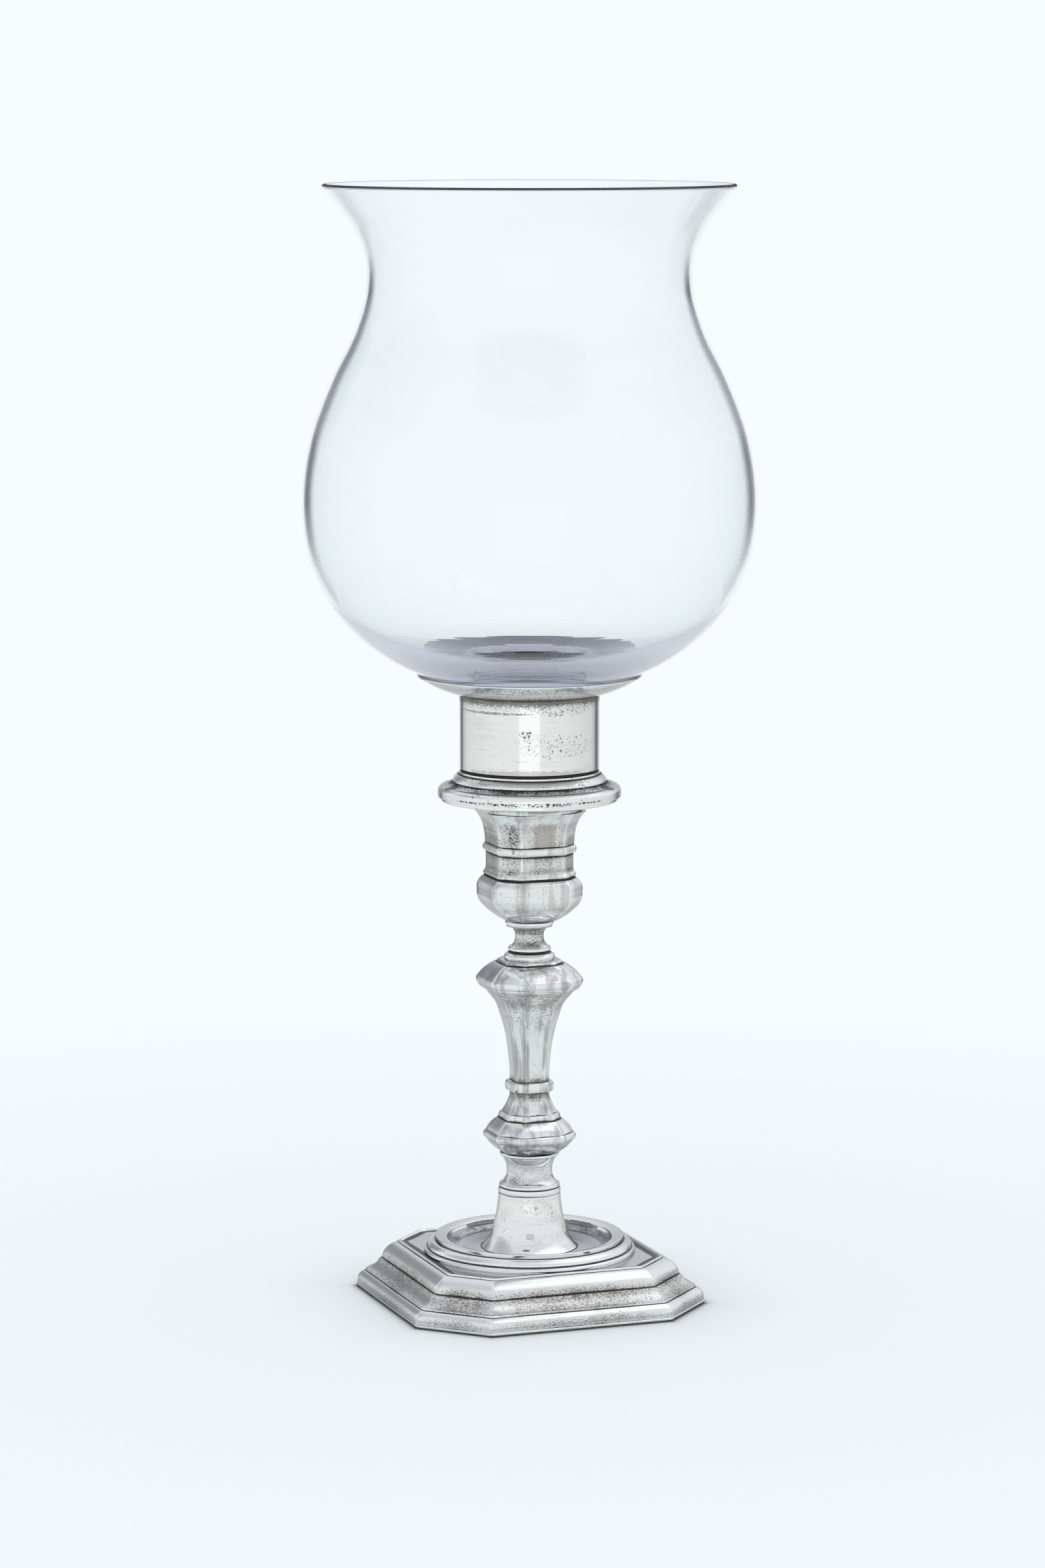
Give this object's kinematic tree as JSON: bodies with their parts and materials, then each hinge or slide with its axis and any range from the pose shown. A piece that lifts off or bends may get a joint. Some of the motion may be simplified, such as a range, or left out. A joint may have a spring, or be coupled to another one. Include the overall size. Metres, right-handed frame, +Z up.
{
  "type": "candle lamp with shade",
  "caption": "Eight-sided silver candlestick with a sunk well, a lift-off silver candle cup plugged into its socket, and a loose flared glass storm shade.",
  "frame": {"origin": "centre of the foot's lower rim, on the surface that the lamp stands on", "axes": "+Z up along the stem; the flats of the eight-sided foot and stem face +X, -X, +Y and -Y"},
  "size_m": [0.1538, 0.1538, 0.3807],
  "materials": {
    "polished_silver": "old polished silver with tarnish in its recesses",
    "tarnished_silver": "dull silver, tarnished where it is never rubbed",
    "shade_glass": "clear blown glass with a faint violet-grey tint in its thick parts"
  },
  "bodies": {
    "candlestick": {"foot_plinth": "polished_silver", "well_dish": "polished_silver", "well_ring": "polished_silver", "stem_trumpet": "polished_silver", "trumpet_collar": "polished_silver", "lower_spool": "polished_silver", "lower_knop": "polished_silver", "baluster_band": "polished_silver", "baluster": "polished_silver", "shoulder_knop": "polished_silver", "neck_rings": "polished_silver", "neck_spool": "polished_silver", "neck_disc": "polished_silver", "candle_socket": "polished_silver"},
    "shade_carrier": {"nozzle_tube": "tarnished_silver", "nozzle_pan": "tarnished_silver", "carrier_flange": "polished_silver", "cup_floor": "tarnished_silver", "candle_cup": "polished_silver", "shade_saucer": "polished_silver"},
    "shade": {"glass_shade": "shade_glass"}
  },
  "joints": [
    {"name": "carrier_lift", "type": "slide", "parent": "candlestick", "child": "shade_carrier", "axis": [0, 0, 1], "range_m": [0, 0.03]},
    {"name": "shade_lift", "type": "slide", "parent": "shade_carrier", "child": "shade", "axis": [0, 0, 1], "range_m": [0, 0.02]}
  ]
}
